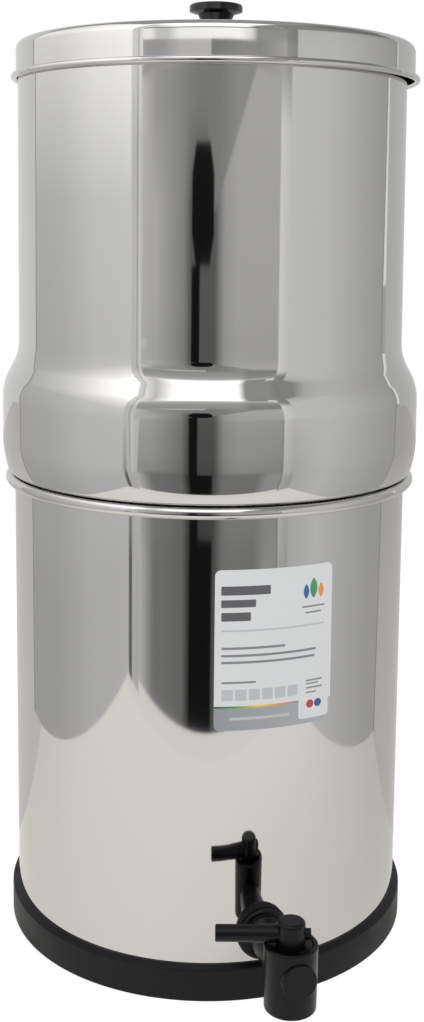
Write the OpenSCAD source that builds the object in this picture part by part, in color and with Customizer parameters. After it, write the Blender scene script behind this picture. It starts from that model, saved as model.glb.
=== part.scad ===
// Gravity water filter with tap: two stacked steel chambers, ceramic candles, lid and tap.
// Millimetres. The origin is on the vessel's axis, on the surface that it stands on.
// -Y is the front, and an azimuth is counted from the front towards +X.

/* [Base ring] */
// Width of the base ring's wall round the foot of the lower chamber
ring_wall = 3.5; // [3:0.1:8]
// Height of the base ring
ring_h = 17.8; // [16:0.2:19]
// Thickness of the ring's floor, which carries the lower chamber
ring_floor = 4; // [3:0.5:6]
// Width of the ring's floor under the chamber
ring_ledge_w = 16; // [12:1:24]
// Drop of the ring's top face from the steel out to its edge
ring_fall = 1; // [0.4:0.1:2]
// Rounding of the ring's outer edges
ring_edge_r = 1.2; // [0.8:0.1:2]

/* [Lower chamber] */
// Outer diameter of the lower chamber under its rim
lower_d = 215; // [205:1:217]
// Loss of radius from the rim down to the foot
lower_taper = 1.3; // [0:0.1:1.5]
// Height of the lower chamber, from its foot to the top of its rim
lower_h = 246; // [220:1:280]
// Thickness of the chambers' steel
steel_t = 1; // [0.8:0.1:1.2]
// Outside radius of the rolled rim's tube
rim_r = 3; // [2.5:0.1:3.5]
// Outside radius at the chambers' bottom corners
foot_r = 8; // [5:1:10]

/* [Upper chamber] */
// How far the upper chamber's wall lies inside the lower chamber's
upper_in = 2.4; // [1.5:0.1:5]
// How far the bulge over the rim stands out past the lower chamber's wall
bulge_out = 6.4; // [5:0.1:8]
// Height of the upper chamber over the lower chamber's rim
upper_rise = 229.5; // [220:0.1:260]
// Height over the rim at which the bulge's tuck ends
tuck_h = 10.3; // [8:0.1:13]
// Lean of the tucked-in wall under the bulge, in degrees
tuck_lean = 17.6; // [12:0.2:20]
// Bending radius between the tuck and the bulge
tuck_bend_r = 48; // [30:1:60]
// Rounding under the bulge, where it turns in over the rim
seat_bend_r = 3; // [2:0.1:3.5]
// Height over the rim at which the shoulder starts to draw in
shoulder_h = 47.7; // [44:0.1:60]
// Lean of the shoulder, in degrees
shoulder_lean = 28; // [24:1:34]
// Bending radius at both ends of the shoulder
shoulder_bend_r = 24; // [12:1:28]
// Depth of the part that drops into the lower chamber
spigot_h = 17; // [14:1:24]
// Clearance round that part inside the rim
spigot_gap = 1.1; // [0.5:0.1:2]
// Width of the lip that is turned in at the mouth
lip_w = 6.2; // [6:0.1:10]
// Gap that is left where one loose part seats on another
seat_gap = 0.3; // [0.2:0.05:0.5]

/* [Lid] */
// Thickness of the lid's steel
lid_t = 0.7; // [0.6:0.1:1]
// Height of the lid from its bead to its edge
lid_h = 20.4; // [18:0.1:30]
// Outside radius of the lid's top edge
lid_edge_r = 4.5; // [4:0.5:7]
// Rise of the lid's crown
lid_dome = 4; // [2:0.5:8]
// Bending radius of the crown
lid_crown_r = 700; // [500:10:900]
// Width of the flat border round the crown
lid_flat_w = 14; // [12:0.5:20]
// Bending radius between the border and the crown
lid_flat_r = 40; // [20:5:60]
// Outside radius of the tube that is rolled round the lid's lower edge
lid_bead_r = 1.7; // [1.6:0.1:2.4]
// Play of the loose lid, which lies pushed to the right by this much
lid_play = 1.6; // [0.5:0.1:2]

/* [Knob] */
// Diameter of the knob's disc
knob_d = 28.8; // [26:0.2:36]
// Height of the whole knob
knob_h = 18.8; // [15:0.1:24]
// Height of the disc's edge
knob_edge_h = 3.8; // [3:0.1:5]
// Rounding of the disc's upper edge
knob_edge_r = 1.4; // [0.8:0.1:2]
// Rise of the disc's crown
knob_crown_h = 0.8; // [0.5:0.1:3]
// Height of the disc's sloped underside
knob_under_h = 1.3; // [1:0.1:2]
// Diameter of the neck where it meets the disc
knob_neck_d = 19.8; // [18:0.2:22]
// Height of the neck's flare under the disc
knob_flare_h = 4.3; // [4:0.1:6]
// Bending radius between the straight neck and its flare
knob_flare_r = 12; // [6:0.5:13]
// Diameter of the straight neck
knob_foot_d = 16; // [14:0.2:17]
// Diameter of the knob's screw
screw_d = 5; // [4:0.5:6]
// Depth of the screw in the knob
screw_depth = 10; // [6:0.5:12]
// Diameter of the screw's head
screw_head_d = 9.5; // [8:0.5:12]
// Height of the screw's head
screw_head_h = 3; // [2:0.2:4]
// Diameter of the washer under the lid
knob_washer_d = 16; // [12:0.5:20]
// Thickness of the washer under the lid
knob_washer_t = 1.2; // [0.8:0.1:2]

/* [Candles] */
// Distance from the vessel's axis to each candle
candle_x = 46; // [42:1:50]
// Diameter of the ceramic shell
shell_d = 49; // [40:1:54]
// Height of the ceramic shell
shell_h = 172; // [120:1:178]
// Wall of the ceramic shell
shell_t = 8; // [5:0.5:10]
// Diameter of the moulded mount
mount_d = 53; // [50:1:56]
// Height of the moulded mount
mount_h = 12; // [8:0.5:16]
// Depth to which the shell is glued into the mount
shell_sink = 8; // [4:0.5:9]
// Clearance between the shell and its core, and round the shell in its mount
core_gap = 0.3; // [0.2:0.1:1]
// Room over the core, under the shell's dome
core_room = 6; // [2:1:12]
// Diameter of the threaded stem
stem_d = 12; // [10:1:14]
// Length of the stem under the mount
stem_l = 34; // [30:1:40]
// Diameter of the water way in the stem
stem_bore_d = 5; // [3:0.5:6]
// Clearance of the stem in its hole in the chamber
stem_gap = 0.3; // [0.2:0.1:0.6]
// Diameter of the sealing washer
seal_d = 26; // [20:1:32]
// Thickness of the sealing washer
seal_t = 2; // [1.5:0.1:3]
// Diameter of the wing nut's hub
wing_hub_d = 20; // [18:1:24]
// Height of the wing nut's hub
wing_hub_h = 12; // [8:1:14]
// Span over both wings
wing_span = 44; // [36:1:50]
// Thickness of a wing
wing_t = 4; // [3:0.5:5]
// Height of a wing
wing_h = 12; // [8:1:13]
// Direction in which the wings point once tight, in degrees from +X
wing_turn = 135; // [0:5:180]

/* [Tap] */
// Azimuth of the tap, in degrees to the right of the front
tap_az = 15.4; // [0:0.2:24]
// Height of the tap's shank
tap_z = 34; // [34:0.5:50]
// Distance from the steel to the axis of the spout
tap_reach = 44.5; // [38:0.5:60]
// Diameter of the threaded shank
shank_d = 16; // [14:1:20]
// Length of the shank inside the chamber
shank_in = 22; // [18:1:26]
// Clearance of the shank in the chamber's hole, the washers and the nut
shank_gap = 0.2; // [0.1:0.05:0.4]
// Diameter of the water way in the shank
waterway_d = 8; // [6:0.5:9]
// Diameter of the outer washer
washer_d = 26.6; // [24:0.2:30]
// Thickness of both tap washers, measured on the axis
washer_t = 2.5; // [2:0.1:4]
// Diameter of the inner washer
inner_washer_d = 25; // [22:1:28]
// Width of the tap nut over its flats
nut_af = 24; // [22:1:27]
// Thickness of the tap nut
nut_t = 8; // [6:0.5:10]
// Diameter of the tap's flange
flange_d = 25.8; // [25:0.2:29]
// Thickness of the tap's flange
flange_t = 2.6; // [2:0.1:4]
// Diameter of the domed collar in front of the flange
collar_d = 21; // [19.6:0.2:22]
// Length of the domed collar
collar_l = 7; // [5:0.5:9]
// Diameter of the barrel between collar and spout
barrel_d = 17; // [15:0.5:18]
// Height of the spout's lower rim over the ground
spout_z = 20; // [10:0.5:24]
// Height of the spout's body
spout_h = 31.5; // [30:0.5:40]
// Diameter of the spout's body at the top
spout_d = 25.8; // [24:0.2:30]
// Loss of radius from the spout's top to its lower rim
spout_taper = 0.5; // [0:0.1:1]
// Diameter of the open outlet under the plug
outlet_d = 20; // [18.6:0.2:21]
// Diameter of the round pad on the spout's front
pad_d = 16.8; // [12:0.2:18]
// Height of the pad's middle over the spout's lower rim
pad_rise = 19; // [10:0.5:20]
// Height of the pad over the spout's side
pad_t = 0.8; // [0.4:0.1:1.2]

/* [Tap plug and lever] */
// Diameter of the plug
plug_d = 17; // [14:0.2:17.4]
// Running clearance of the plug in the spout, on the radius
plug_gap = 0.05; // [0.02:0.01:0.1]
// Diameter of the plug's cap
cap_d = 13.6; // [11:0.1:14]
// Height of the cap over the spout's body
cap_h = 11; // [9.4:0.2:14]
// Rounding of the cap's top edge
cap_edge_r = 1.8; // [0.5:0.1:2]
// Depth of the recess round the cap
recess_h = 2.7; // [2:0.1:4]
// Diameter of the recess round the cap
recess_d = 20.6; // [19:0.1:22]
// Height of the outlet chamber under the plug's seat
plug_seat_h = 7; // [4:0.5:8]
// Height of the snap collar that holds the plug down
snap_h = 1.6; // [1:0.1:2]
// How far the snap collar stands out from the plug
snap_w = 0.5; // [0.3:0.1:0.6]
// Diameter of the plug's hollow
plug_bore_d = 10; // [8:0.5:11]
// Thickness of the o-ring
o_ring_t = 1.5; // [1.2:0.1:2]
// Depth of the o-ring's groove under the recess
o_ring_drop = 3; // [2.5:0.1:4]
// Quarter turn of the tap, in degrees
tap_turn = 90; // [60:5:100]
// Free angle between a tab and its stop, in degrees
stop_gap = 1; // [0.5:0.5:2]
// Diameter of the lever's bar
lever_d = 7.8; // [6:0.1:9]
// Diameter of the bar's sleeve near the cap
lever_root_d = 8.2; // [8:0.1:9.2]
// Length of the lever from the plug's axis to its end
lever_l = 35.5; // [25:0.5:55]
// Length of the sleeve from the plug's axis
lever_root_l = 17; // [10:1:22]
// Clearance of the lever over the spout's rim
lever_gap = 0.35; // [0.3:0.05:1]
// Diameter of the pin that is pushed through the cap
lever_pin_d = 5; // [3:0.5:6]
// How far the pin's end stands out of the cap
lever_nub = 2.5; // [1:0.5:5]
// Rounding of the bar's end
lever_edge_r = 0.8; // [0.3:0.1:1.5]

/* [Label] */
// Width of the label round the chamber
label_w = 61.5; // [40:0.5:90]
// Height of the label
label_h = 80.5; // [50:0.5:110]
// Height of the label's middle over the ground
label_z = 178.5; // [120:0.5:190]
// Azimuth of the label's middle, in degrees to the right of the front
label_az = 18.4; // [-40:0.1:40]
// Thickness of the label
label_t = 0.2; // [0.1:0.05:0.4]
// Thickness of the glue under the label
label_glue = 0.05; // [0.02:0.01:0.1]
// Corner radius of the label
label_r = 3; // [1:0.5:8]

/* [Hidden] */

$fn = 96;
WALL_FN = 360;     // facets round the chambers' walls, so that what lies on them fits closely
ARC_SAG = 0.01;    // how far a rounded corner's chords may lie inside its arc
OVER = 1;          // how far a cut runs past the face that it opens

// Lower chamber
lower_z = ring_floor;
lower_rim_top = lower_z + lower_h;
lower_rim_z = lower_rim_top - rim_r;
lower_r = lower_d / 2;
lower_foot_r = lower_r - lower_taper;
ring_r = lower_foot_r + ring_wall;
rim_bend_r = rim_r - steel_t;
lower_bend_z = lower_rim_z + rim_bend_r;

// Upper chamber
upper_r = lower_r - upper_in;
bulge_r = lower_r + bulge_out;
seat_z = lower_rim_top + seat_gap;
mouth_z = seat_z + upper_rise;
spigot_r = lower_r - steel_t - spigot_gap;
upper_foot_z = seat_z - spigot_h;
upper_floor_z = upper_foot_z + steel_t;
tuck_r = bulge_r - tuck_h * tan(tuck_lean);
shoulder_top_h = shoulder_h + (bulge_r - upper_r) / tan(shoulder_lean);
lip_bend_r = lid_edge_r - lid_t - seat_gap;

// Lid and knob
lid_r = upper_r + lid_play + seat_gap + lid_t;
lid_z = mouth_z + seat_gap + lid_t;
lid_bead_z = lid_z - lid_h + lid_bead_r;
lid_bend_r = lid_bead_r - lid_t;
crown_z = lid_z + lid_dome;
knob_r = knob_d / 2;
knob_edge_z = crown_z + knob_h - knob_crown_h - knob_edge_h;
knob_under_z = knob_edge_z - knob_under_h;
knob_crown_r = 0.4 * knob_r * knob_r / knob_crown_h;
screw_r = screw_d / 2;

// Candles, from the chamber's floor up
seal_z = upper_floor_z;
mount_z = seal_z + seal_t;
shell_z = mount_z + mount_h - shell_sink;
shell_r = shell_d / 2;
core_r = shell_r - shell_t - core_gap;
core_h = shell_h - shell_t - core_room;
stem_r = stem_d / 2;
stem_hole_r = stem_r + stem_gap;

// Tap
tap_wall_r = lower_radius(tap_z);
shank_r = shank_d / 2;
shank_hole_r = shank_r + shank_gap;
flange_y = tap_wall_r + washer_t;
spout_y = tap_wall_r + tap_reach;
spout_top = spout_z + spout_h;
spout_r = spout_d / 2;
spout_foot_r = spout_r - spout_taper;
collar_y = flange_y + flange_t;
collar_bend_r = 0.8 * collar_l;
inner_sag = tap_wall_r - steel_t - sqrt(pow(tap_wall_r - steel_t, 2) - pow(inner_washer_d / 2, 2));
inner_face_y = tap_wall_r - steel_t - inner_sag - washer_t;
plug_r = plug_d / 2;
plug_hole_r = plug_r + plug_gap;
recess_z = spout_top - recess_h;
plug_seat_z = spout_z + plug_seat_h;
plug_bore_top = tap_z + waterway_d / 2 + OVER;
snap_top = plug_seat_z - plug_gap;
cap_top = spout_top + cap_h;
cap_r = cap_d / 2;
lever_axis_z = spout_top + lever_gap + lever_root_d / 2;
tab_r = recess_d / 2 - stop_gap / 4;
stop_w = (180 - tap_turn) / 2;
o_ring_z = recess_z - o_ring_drop;
groove_r = plug_r - o_ring_t;
spout_pos = [spout_y * sin(tap_az), -spout_y * cos(tap_az), 0];

// Radius of the lower chamber's steel at a height
function lower_radius(z) =
    lower_foot_r + lower_taper * (z - lower_z) / (lower_bend_z - lower_z);

function unit(v) = v / norm(v);
function left_of(v) = [-v[1], v[0]];
function reversed(list) = [for (i = [len(list) - 1:-1:0]) list[i]];

// The arc that rounds corner b of the path a-b-c, on the line that lies shift to the path's left
function bend(a, b, c, shift) =
    let (into = unit([b[0] - a[0], b[1] - a[1]]),
         out = unit([c[0] - b[0], c[1] - b[1]]),
         turn = atan2(into[0] * out[1] - into[1] * out[0], into * out),
         side = sign(turn),
         start = [b[0], b[1]] - into * b[2] * tan(abs(turn) / 2),
         middle = start + left_of(into) * b[2] * side,
         radius = b[2] - side * shift,
         from = atan2(into[1], into[0]) - 90 * side,
         step = 2 * acos(1 - ARC_SAG / max(b[2], 1)),
         count = ceil(abs(turn) / step))
    [for (i = [0:count])
        middle + radius * [cos(from + turn * i / count), sin(from + turn * i / count)]];

// A path of corners [r, z, bend radius] as points, shifted to its left
function path_points(path, shift) =
    let (last = len(path) - 1,
         first_way = left_of(unit([path[1][0] - path[0][0], path[1][1] - path[0][1]])),
         last_way = left_of(unit([path[last][0] - path[last - 1][0],
                                  path[last][1] - path[last - 1][1]])))
    concat([[path[0][0], path[0][1]] + first_way * shift],
           [for (i = [1:last - 1]) each bend(path[i - 1], path[i], path[i + 1], shift)],
           [[path[last][0], path[last][1]] + last_way * shift]);

// Sheet of a thickness to the left of a path, or to its right if the thickness is negative
module sheet(path, thickness) {
    polygon(concat(path_points(path, 0), reversed(path_points(path, thickness))));
}

// The lower chamber as a full body, grown by an amount, for what lies against its steel
module lower_body(grow) {
    translate([0, 0, lower_z])
        cylinder(h = lower_bend_z - lower_z, r1 = lower_foot_r + grow, r2 = lower_r + grow,
                 $fn = WALL_FN);
}

// The tap's own frame: its shank points inwards along +Y from the spout
module at_tap() {
    rotate([0, 0, tap_az]) children();
}

// A round bar along +Y, from one distance in front of the axis to a nearer one
module bar_y(far, near, r, z = tap_z) {
    translate([0, -far, z]) rotate([-90, 0, 0]) cylinder(h = far - near, r = r);
}

module base_ring() {
    color("#1d1d1f")
        rotate_extrude()
            polygon(concat(
                path_points([[lower_foot_r - ring_ledge_w, 0],
                             [ring_r, 0, ring_edge_r],
                             [ring_r, ring_h - ring_fall, ring_edge_r],
                             [lower_radius(ring_h), ring_h]], 0),
                [[lower_radius(ring_floor), ring_floor],
                 [lower_foot_r - ring_ledge_w, ring_floor]]));
}

module lower_chamber() {
    color("#c9c9c6")
        difference() {
            rotate_extrude($fn = WALL_FN)
                sheet([[0, lower_z],
                       [lower_foot_r, lower_z, foot_r],
                       [lower_r, lower_bend_z, rim_bend_r],
                       [lower_r + 2 * rim_bend_r, lower_bend_z, rim_bend_r],
                       [lower_r + 2 * rim_bend_r, lower_rim_z - rim_bend_r, rim_bend_r],
                       [lower_r + rim_bend_r / 2, lower_rim_z - rim_bend_r]], steel_t);
            at_tap() bar_y(tap_wall_r + foot_r, tap_wall_r - foot_r, shank_hole_r);
        }
}

module product_label() {
    color("#f2f2f2")
        intersection() {
            difference() {
                lower_body(label_glue + label_t);
                lower_body(label_glue);
            }
            rotate([0, 0, label_az])
                translate([0, 0, label_z])
                    rotate([90, 0, 0])
                        linear_extrude(lower_d)
                            label_outline();
        }
}

module label_outline() {
    x = label_w / 2 - label_r;
    z = label_h / 2 - label_r;
    for (side = [-1, 1])
        for (end = [-1, 1])
            translate([side * x, end * z]) circle(r = label_r);
    square([2 * x, label_h], center = true);
    square([label_w, 2 * z], center = true);
}

module tap_body() {
    color("#202022")
        difference() {
            union() {
                at_tap() tap_shank();
                translate(spout_pos) spout_outside();
            }
            at_tap() bar_y(spout_y, tap_wall_r - shank_in - OVER, waterway_d / 2);
            translate(spout_pos) spout_inside();
        }
}

// Shank, flange, domed collar and barrel as one turned shape along +Y
module tap_shank() {
    translate([0, 0, tap_z])
        rotate([90, 0, 0])
            rotate_extrude()
                polygon(concat(
                    [[0, tap_wall_r - shank_in], [shank_r, tap_wall_r - shank_in],
                     [shank_r, flange_y]],
                    path_points([[shank_r, flange_y],
                                 [flange_d / 2, flange_y, flange_t / 4],
                                 [flange_d / 2, collar_y, flange_t / 2],
                                 [collar_d / 2, collar_y, flange_t / 8],
                                 [collar_d / 2, collar_y + collar_l / 3, collar_bend_r],
                                 [barrel_d / 2, collar_y + collar_l, flange_t / 8],
                                 [barrel_d / 2, spout_y]], 0),
                    [[0, spout_y]]));
}

module spout_outside() {
    translate([0, 0, spout_z]) cylinder(h = spout_h, r1 = spout_foot_r, r2 = spout_r);
    rotate([0, 0, tap_az])
        bar_y(spout_r + pad_t, 0, pad_d / 2, spout_z + pad_rise);
}

module spout_inside() {
    translate([0, 0, spout_z - OVER]) cylinder(h = plug_seat_h + OVER, r = outlet_d / 2);
    translate([0, 0, spout_z]) cylinder(h = spout_h + OVER, r = plug_hole_r);
    difference() {
        translate([0, 0, recess_z]) cylinder(h = recess_h + OVER, r = recess_d / 2);
        for (side = [0, 1])
            rotate([0, 0, 180 * side + 90 + tap_turn / 2])
                sector(stop_w - stop_gap, recess_z - OVER, recess_h + OVER - stop_gap / 2,
                       cap_r + stop_gap, recess_d / 2 + OVER);
    }
}

// A ring sector of an angle, centred on +X
module sector(angle, z, h, r_in, r_out) {
    translate([0, 0, z])
        rotate([0, 0, -angle / 2])
            rotate_extrude(angle = angle)
                translate([r_in, 0]) square([r_out - r_in, h]);
}

module tap_outer_washer() {
    color("#101011")
        at_tap()
            difference() {
                bar_y(flange_y, tap_wall_r - washer_t, washer_d / 2);
                bar_y(flange_y + OVER, tap_wall_r - washer_t - OVER, shank_hole_r);
                rotate([0, 0, -tap_az]) lower_body(0);
            }
}

module tap_inner_washer() {
    color("#101011")
        at_tap()
            difference() {
                intersection() {
                    bar_y(tap_wall_r, inner_face_y, inner_washer_d / 2);
                    lower_body(-steel_t);
                }
                bar_y(tap_wall_r + OVER, inner_face_y - OVER, shank_hole_r);
            }
}

module tap_nut() {
    color("#2a2a2c")
        at_tap()
            difference() {
                translate([0, -inner_face_y, tap_z])
                    rotate([-90, 30, 0])
                        cylinder(h = nut_t, r = nut_af / 2 / cos(30), $fn = 6);
                bar_y(inner_face_y + OVER, inner_face_y - nut_t - OVER, shank_hole_r);
            }
}

module tap_plug() {
    color("#1a1a1c")
        translate(spout_pos)
            difference() {
                union() {
                    rotate_extrude()
                        polygon(concat(
                            [[0, snap_top - snap_h], [plug_r + snap_w / 2, snap_top - snap_h],
                             [plug_r + snap_w, snap_top - snap_h / 2], [plug_r + snap_w, snap_top],
                             [plug_r, snap_top],
                             [plug_r, o_ring_z - o_ring_t / 2], [groove_r, o_ring_z - o_ring_t / 2],
                             [groove_r, o_ring_z + o_ring_t / 2], [plug_r, o_ring_z + o_ring_t / 2],
                             [plug_r, recess_z], [cap_r, recess_z]],
                            path_points([[cap_r, recess_z],
                                         [cap_r, cap_top, cap_edge_r],
                                         [0, cap_top]], 0)));
                    for (side = [0, 1])
                        rotate([0, 0, 180 * side])
                            sector(stop_w - stop_gap, recess_z + plug_gap,
                                   recess_h - plug_gap - stop_gap / 2,
                                   cap_r - OVER, tab_r);
                }
                translate([0, 0, snap_top - snap_h - OVER])
                    cylinder(h = plug_bore_top - snap_top + snap_h + OVER, r = plug_bore_d / 2);
                rotate([0, 0, tap_az - tap_turn])
                    bar_y(0, -plug_r - OVER, waterway_d / 2);
                lever_shape();
            }
}

module tap_lever() {
    color("#1a1a1c")
        translate(spout_pos) lever_shape();
}

// Bar, sleeve and the thinner pin that goes through the cap
module lever_shape() {
    translate([0, 0, lever_axis_z])
        rotate([0, -90, 0])
            rotate_extrude()
                polygon(concat(
                    [[0, -cap_r - lever_nub], [lever_pin_d / 2, -cap_r - lever_nub],
                     [lever_pin_d / 2, cap_r / 2], [lever_root_d / 2, cap_r / 2],
                     [lever_root_d / 2, lever_root_l]],
                    path_points([[lever_d / 2, lever_root_l + lever_edge_r],
                                 [lever_d / 2, lever_l, lever_edge_r],
                                 [0, lever_l]], 0)));
}

module plug_o_ring() {
    color("#0c0c0d")
        translate(spout_pos)
            translate([0, 0, o_ring_z])
                rotate_extrude()
                    translate([groove_r + o_ring_t / 2 - plug_gap, 0])
                        circle(d = o_ring_t - 2 * plug_gap);
}

module upper_chamber() {
    color("#cfcfcc")
        difference() {
            rotate_extrude($fn = WALL_FN)
                sheet([[0, upper_foot_z],
                       [spigot_r, upper_foot_z, foot_r],
                       [spigot_r, seat_z, steel_t],
                       [tuck_r, seat_z, seat_bend_r],
                       [bulge_r, seat_z + tuck_h, tuck_bend_r],
                       [bulge_r, seat_z + shoulder_h, shoulder_bend_r],
                       [upper_r, seat_z + shoulder_top_h, shoulder_bend_r],
                       [upper_r, mouth_z, lip_bend_r],
                       [upper_r - lip_w, mouth_z]], steel_t);
            for (side = [-1, 1])
                translate([side * candle_x, 0, upper_foot_z - OVER])
                    cylinder(h = steel_t + 2 * OVER, r = stem_hole_r);
        }
}

module candle_shell(side) {
    color("#efece4")
        translate([side * candle_x, 0, shell_z])
            rotate_extrude()
                difference() {
                    dome_outline(shell_r, shell_h);
                    translate([0, -OVER]) dome_outline(shell_r - shell_t, shell_h - shell_t + OVER);
                }
}

// Half outline of an upright rod with a round top
module dome_outline(r, h) {
    square([r, h - r]);
    intersection() {
        translate([0, h - r]) circle(r = r);
        square([r, h]);
    }
}

module candle_core(side) {
    color("#2b2b2b")
        translate([side * candle_x, 0, shell_z])
            rotate_extrude() dome_outline(core_r, core_h);
}

module candle_mount(side) {
    color("#e7e7e2")
        translate([side * candle_x, 0, 0])
            rotate_extrude()
                difference() {
                    union() {
                        translate([0, mount_z]) square([mount_d / 2, mount_h]);
                        translate([0, mount_z - stem_l]) square([stem_r, stem_l + OVER]);
                    }
                    translate([0, shell_z]) square([shell_r + core_gap, mount_h]);
                    translate([0, mount_z - stem_l - OVER])
                        square([stem_bore_d / 2, stem_l + mount_h + OVER]);
                }
}

module candle_seal(side) {
    color("#c8553a")
        translate([side * candle_x, 0, seal_z])
            difference() {
                cylinder(h = seal_t, d = seal_d);
                translate([0, 0, -OVER]) cylinder(h = seal_t + 2 * OVER, r = stem_hole_r);
            }
}

module candle_wing_nut(side) {
    color("#e7e7e2")
        translate([side * candle_x, 0, upper_foot_z])
            difference() {
                union() {
                    translate([0, 0, -wing_hub_h]) cylinder(h = wing_hub_h, d = wing_hub_d);
                    rotate([90, 0, wing_turn])
                        translate([0, 0, -wing_t / 2]) linear_extrude(wing_t) wing_outline();
                }
                translate([0, 0, -wing_hub_h - wing_h])
                    cylinder(h = wing_hub_h + wing_h + OVER, r = stem_hole_r);
            }
}

// Both wings, seen from the side: round ends on a lower web through the hub
module wing_outline() {
    end_r = wing_h / 2;
    reach = wing_span / 2 - end_r;
    translate([0, -end_r - wing_t / 2]) {
        for (side = [-1, 1]) translate([side * reach, 0]) circle(r = end_r);
        translate([-reach, -end_r / 2]) square([2 * reach, end_r]);
    }
}

module lid() {
    color("#cfcfcc")
        translate([lid_play, 0, 0])
            difference() {
                rotate_extrude($fn = WALL_FN)
                    sheet([[0, crown_z],
                           [lid_r / 2, crown_z, lid_crown_r],
                           [lid_r - lid_flat_w, lid_z, lid_flat_r],
                           [lid_r, lid_z, lid_edge_r],
                           [lid_r, lid_bead_z - lid_bend_r, lid_bend_r],
                           [lid_r + 2 * lid_bend_r, lid_bead_z - lid_bend_r, lid_bend_r],
                           [lid_r + 2 * lid_bend_r, lid_bead_z + lid_bend_r, lid_bend_r],
                           [lid_r + lid_bend_r / 2, lid_bead_z + lid_bend_r]], -lid_t);
                translate([0, 0, lid_z]) cylinder(h = lid_dome + OVER, r = screw_r + seat_gap);
            }
}

module lid_knob() {
    color("#1a1a1c")
        translate([lid_play, 0, 0])
            difference() {
                rotate_extrude()
                    polygon(concat(
                        path_points([[0, crown_z],
                                     [knob_foot_d / 2, crown_z, knob_edge_r / 3],
                                     [knob_foot_d / 2, knob_under_z - knob_flare_h, knob_flare_r],
                                     [knob_neck_d / 2, knob_under_z, knob_edge_r / 3],
                                     [knob_r, knob_edge_z, knob_edge_r / 3],
                                     [knob_r, knob_edge_z + knob_edge_h, knob_edge_r],
                                     [knob_r / 2, crown_z + knob_h, knob_crown_r],
                                     [0, crown_z + knob_h]], 0)));
                translate([0, 0, crown_z - OVER]) cylinder(h = screw_depth + OVER, r = screw_r);
            }
}

module knob_washer() {
    color("#101011")
        translate([lid_play, 0, crown_z - lid_t - knob_washer_t])
            difference() {
                cylinder(h = knob_washer_t, d = knob_washer_d);
                translate([0, 0, -OVER]) cylinder(h = knob_washer_t + 2 * OVER, r = screw_r);
            }
}

module knob_screw() {
    color("#b9b9b9")
        translate([lid_play, 0, crown_z - lid_t - knob_washer_t])
            rotate_extrude()
                polygon([[0, -screw_head_h],
                         [screw_head_d / 2 - screw_head_h / 4, -screw_head_h],
                         [screw_head_d / 2, -screw_head_h / 2],
                         [screw_head_d / 2, 0],
                         [screw_r, 0],
                         [screw_r, knob_washer_t + lid_t + screw_depth - screw_r / 2],
                         [screw_r / 2, knob_washer_t + lid_t + screw_depth],
                         [0, knob_washer_t + lid_t + screw_depth]]);
}

base_ring();
lower_chamber();
product_label();
tap_body();
tap_outer_washer();
tap_inner_washer();
tap_nut();
tap_plug();
tap_lever();
plug_o_ring();
upper_chamber();
candle_shell(-1);  // candle_shell_left
candle_core(-1);  // candle_core_left
candle_mount(-1);  // candle_mount_left
candle_seal(-1);  // candle_seal_left
candle_wing_nut(-1);  // candle_wing_nut_left
candle_shell(1);  // candle_shell_right
candle_core(1);  // candle_core_right
candle_mount(1);  // candle_mount_right
candle_seal(1);  // candle_seal_right
candle_wing_nut(1);  // candle_wing_nut_right
lid();
lid_knob();
knob_washer();
knob_screw();
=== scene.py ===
import math

import bmesh
import bpy
from mathutils import Matrix, Vector


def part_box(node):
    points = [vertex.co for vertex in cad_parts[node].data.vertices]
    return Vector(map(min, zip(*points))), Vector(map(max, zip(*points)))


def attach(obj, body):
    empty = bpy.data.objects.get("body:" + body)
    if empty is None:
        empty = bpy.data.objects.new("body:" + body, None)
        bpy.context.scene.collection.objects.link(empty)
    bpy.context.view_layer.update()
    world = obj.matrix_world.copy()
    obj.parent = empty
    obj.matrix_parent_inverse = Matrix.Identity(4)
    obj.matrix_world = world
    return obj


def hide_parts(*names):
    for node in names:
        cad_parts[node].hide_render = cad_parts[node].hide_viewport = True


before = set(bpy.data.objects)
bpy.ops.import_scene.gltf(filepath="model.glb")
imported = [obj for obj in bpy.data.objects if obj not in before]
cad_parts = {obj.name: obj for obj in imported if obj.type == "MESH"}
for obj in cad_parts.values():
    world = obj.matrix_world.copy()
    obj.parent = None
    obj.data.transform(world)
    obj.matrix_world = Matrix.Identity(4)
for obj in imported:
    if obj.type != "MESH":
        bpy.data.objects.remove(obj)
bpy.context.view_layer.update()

# A stacked steel water filter with a lever tap. Metres; -Y is the front and +Z is up.
mm = 0.001

bpy.context.scene.view_settings.view_transform = "Standard"


def boxOf(nodeName):
    # Lowest corner, highest corner and middle of a part
    low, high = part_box(nodeName)
    return low, high, (low + high) / 2


camera = {
    "place": Vector((0, -0.753, 0.3900)),
    "down": 0.0967,  # radians below the horizon
    "roll": 0.0085,
    "lens": 48.03,
    "sensor": 36,
    "shiftX": 0.0017,
    "shiftY": -0.1609,
}


def addCamera(c):
    ahead = Vector((0, math.cos(c["down"]), -math.sin(c["down"])))
    level = Vector((1, 0, 0))
    above = level.cross(ahead)
    right = math.cos(c["roll"]) * level + math.sin(c["roll"]) * above
    up = right.cross(ahead)
    data = bpy.data.cameras.new("camera")
    data.lens = c["lens"]
    data.sensor_width = c["sensor"]
    data.shift_x = c["shiftX"]
    data.shift_y = c["shiftY"]
    made = bpy.data.objects.new("camera", data)
    turn = Matrix((right, up, -ahead)).transposed().to_4x4()
    made.matrix_world = Matrix.Translation(c["place"]) @ turn
    bpy.context.scene.collection.objects.link(made)
    bpy.context.scene.camera = made


addCamera(camera)
print("camera is in place")


def ink(hexColour):
    # sRGB hex to linear RGBA
    parts = [int(hexColour[i:i + 2], 16) / 255 for i in (1, 3, 5)]
    linear = [p / 12.92 if p <= 0.04045 else ((p + 0.055) / 1.055) ** 2.4 for p in parts]
    return (*linear, 1)


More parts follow.
